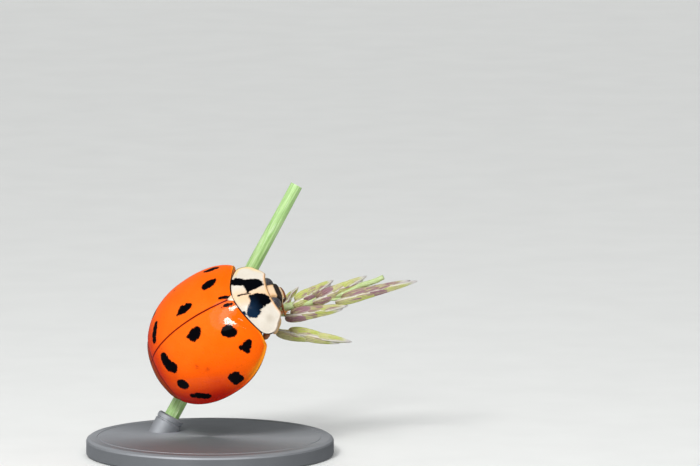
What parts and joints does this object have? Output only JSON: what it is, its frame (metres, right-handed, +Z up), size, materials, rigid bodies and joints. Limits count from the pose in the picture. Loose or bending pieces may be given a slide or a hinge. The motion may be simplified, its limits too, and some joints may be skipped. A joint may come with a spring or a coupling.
{
  "type": "harlequin ladybird on a grass stem",
  "caption": "Life-size model of a spotted orange ladybird gripping a short cut grass stem with a seed spray, on a round metal display stand.",
  "frame": {"origin": "centre of the underside of the stand's disc, on the surface that it stands on", "axes": "+Z up, +X to the viewer's right along the way the head points, +Y away from the viewer"},
  "size_m": [0.0147, 0.011, 0.0118],
  "materials": {
    "elytra": "glossy shell, orange with black spots",
    "scutellum": "glossy shell, cream",
    "pronotum": "glossy shell, ivory with a black M-shaped mark",
    "underside": "satin shell, dark brown",
    "abdomen": "satin shell, orange-brown",
    "head": "satin shell, cream with brown marks",
    "mouthparts": "satin shell, brown",
    "eyes": "finely faceted, dark grey",
    "legs": "satin shell, orange-brown",
    "stem": "finely ridged, pale green",
    "spikelets": "papery, yellow-green with purple patches and white tips",
    "stand": "turned and brushed, satin"
  },
  "bodies": {
    "root": {"elytron_left": "elytra", "elytron_right": "elytra", "scutellum": "scutellum", "pronotum": "pronotum", "prothorax": "underside", "thorax": "underside", "abdomen": "abdomen", "head": "head", "mouthparts": "mouthparts", "eye_left": "eyes", "eye_right": "eyes", "antenna_left": "legs", "antenna_right": "legs", "palp_left": "legs", "palp_right": "legs", "leg_front_left_femur": "legs", "leg_front_left_tibia": "legs", "leg_front_left_foot": "legs", "leg_middle_left_femur": "legs", "leg_middle_left_tibia": "legs", "leg_middle_left_foot": "legs", "leg_hind_left_femur": "legs", "leg_hind_left_tibia": "legs", "leg_hind_left_foot": "legs", "leg_front_right_femur": "legs", "leg_front_right_tibia": "legs", "leg_front_right_foot": "legs", "leg_middle_right_femur": "legs", "leg_middle_right_tibia": "legs", "leg_middle_right_foot": "legs", "leg_hind_right_femur": "legs", "leg_hind_right_tibia": "legs", "leg_hind_right_foot": "legs", "perch_stem": "stem", "perch_sprig": "spikelets", "stand_rod": "stand", "stand_base": "stand"}
  },
  "joints": []
}
